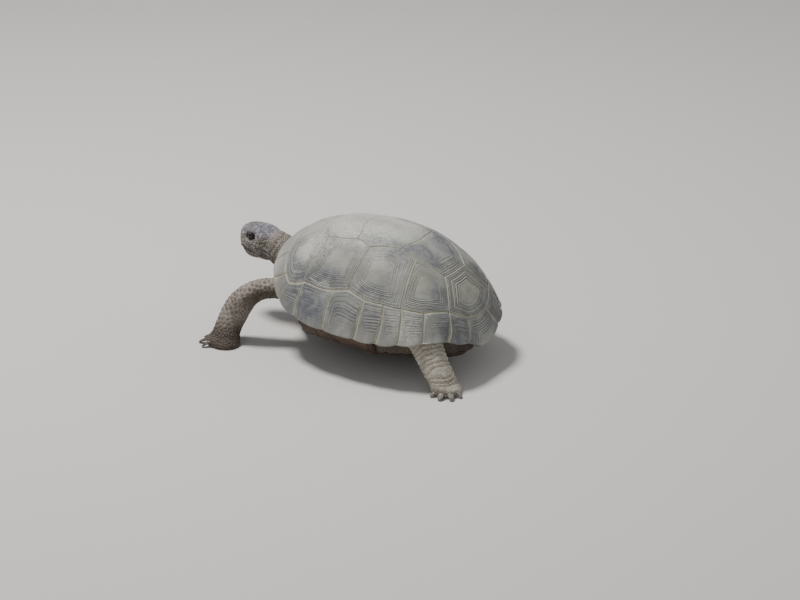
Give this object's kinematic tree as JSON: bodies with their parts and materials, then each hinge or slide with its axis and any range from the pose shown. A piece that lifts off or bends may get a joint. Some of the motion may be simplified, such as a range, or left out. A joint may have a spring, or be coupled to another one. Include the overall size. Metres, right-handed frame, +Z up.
{
  "type": "tortoise",
  "caption": "Life-size tortoise walking on all fours, with a domed plated shell, raised head and stout scaly legs.",
  "frame": {"origin": "bottom centre of the bounding box, on the floor", "axes": "+Z up; the head points to -Y; the animal's left side is +X"},
  "size_m": [0.2472, 0.3616, 0.1598],
  "materials": {
    "scute": "dry horn, matte grey-brown",
    "belly_plate": "worn horn, dark brown",
    "skin": "dry scaly skin",
    "eye": "wet, glossy black"
  },
  "bodies": {
    "root": {"abdominal": "belly_plate", "anal": "belly_plate", "costal_left_1": "scute", "costal_left_2": "scute", "costal_left_3": "scute", "costal_left_4": "scute", "costal_right_1": "scute", "costal_right_2": "scute", "costal_right_3": "scute", "costal_right_4": "scute", "eye_left": "eye", "eye_right": "eye", "femoral": "belly_plate", "foot_front_left": "skin", "foot_front_right": "skin", "foot_hind_left": "skin", "foot_hind_right": "skin", "gular": "belly_plate", "head": "skin", "humeral": "belly_plate", "leg_front_left": "skin", "leg_front_right": "skin", "leg_hind_left": "skin", "leg_hind_right": "skin", "lower_jaw": "skin", "marginal_left_1": "scute", "marginal_left_10": "scute", "marginal_left_11": "scute", "marginal_left_2": "scute", "marginal_left_3": "scute", "marginal_left_4": "scute", "marginal_left_5": "scute", "marginal_left_6": "scute", "marginal_left_7": "scute", "marginal_left_8": "scute", "marginal_left_9": "scute", "marginal_right_1": "scute", "marginal_right_10": "scute", "marginal_right_11": "scute", "marginal_right_2": "scute", "marginal_right_3": "scute", "marginal_right_4": "scute", "marginal_right_5": "scute", "marginal_right_6": "scute", "marginal_right_7": "scute", "marginal_right_8": "scute", "marginal_right_9": "scute", "neck": "skin", "nuchal": "scute", "pectoral": "belly_plate", "supracaudal": "scute", "tail": "skin", "trunk": "skin", "vertebral_1": "scute", "vertebral_2": "scute", "vertebral_3": "scute", "vertebral_4": "scute", "vertebral_5": "scute"}
  },
  "joints": []
}
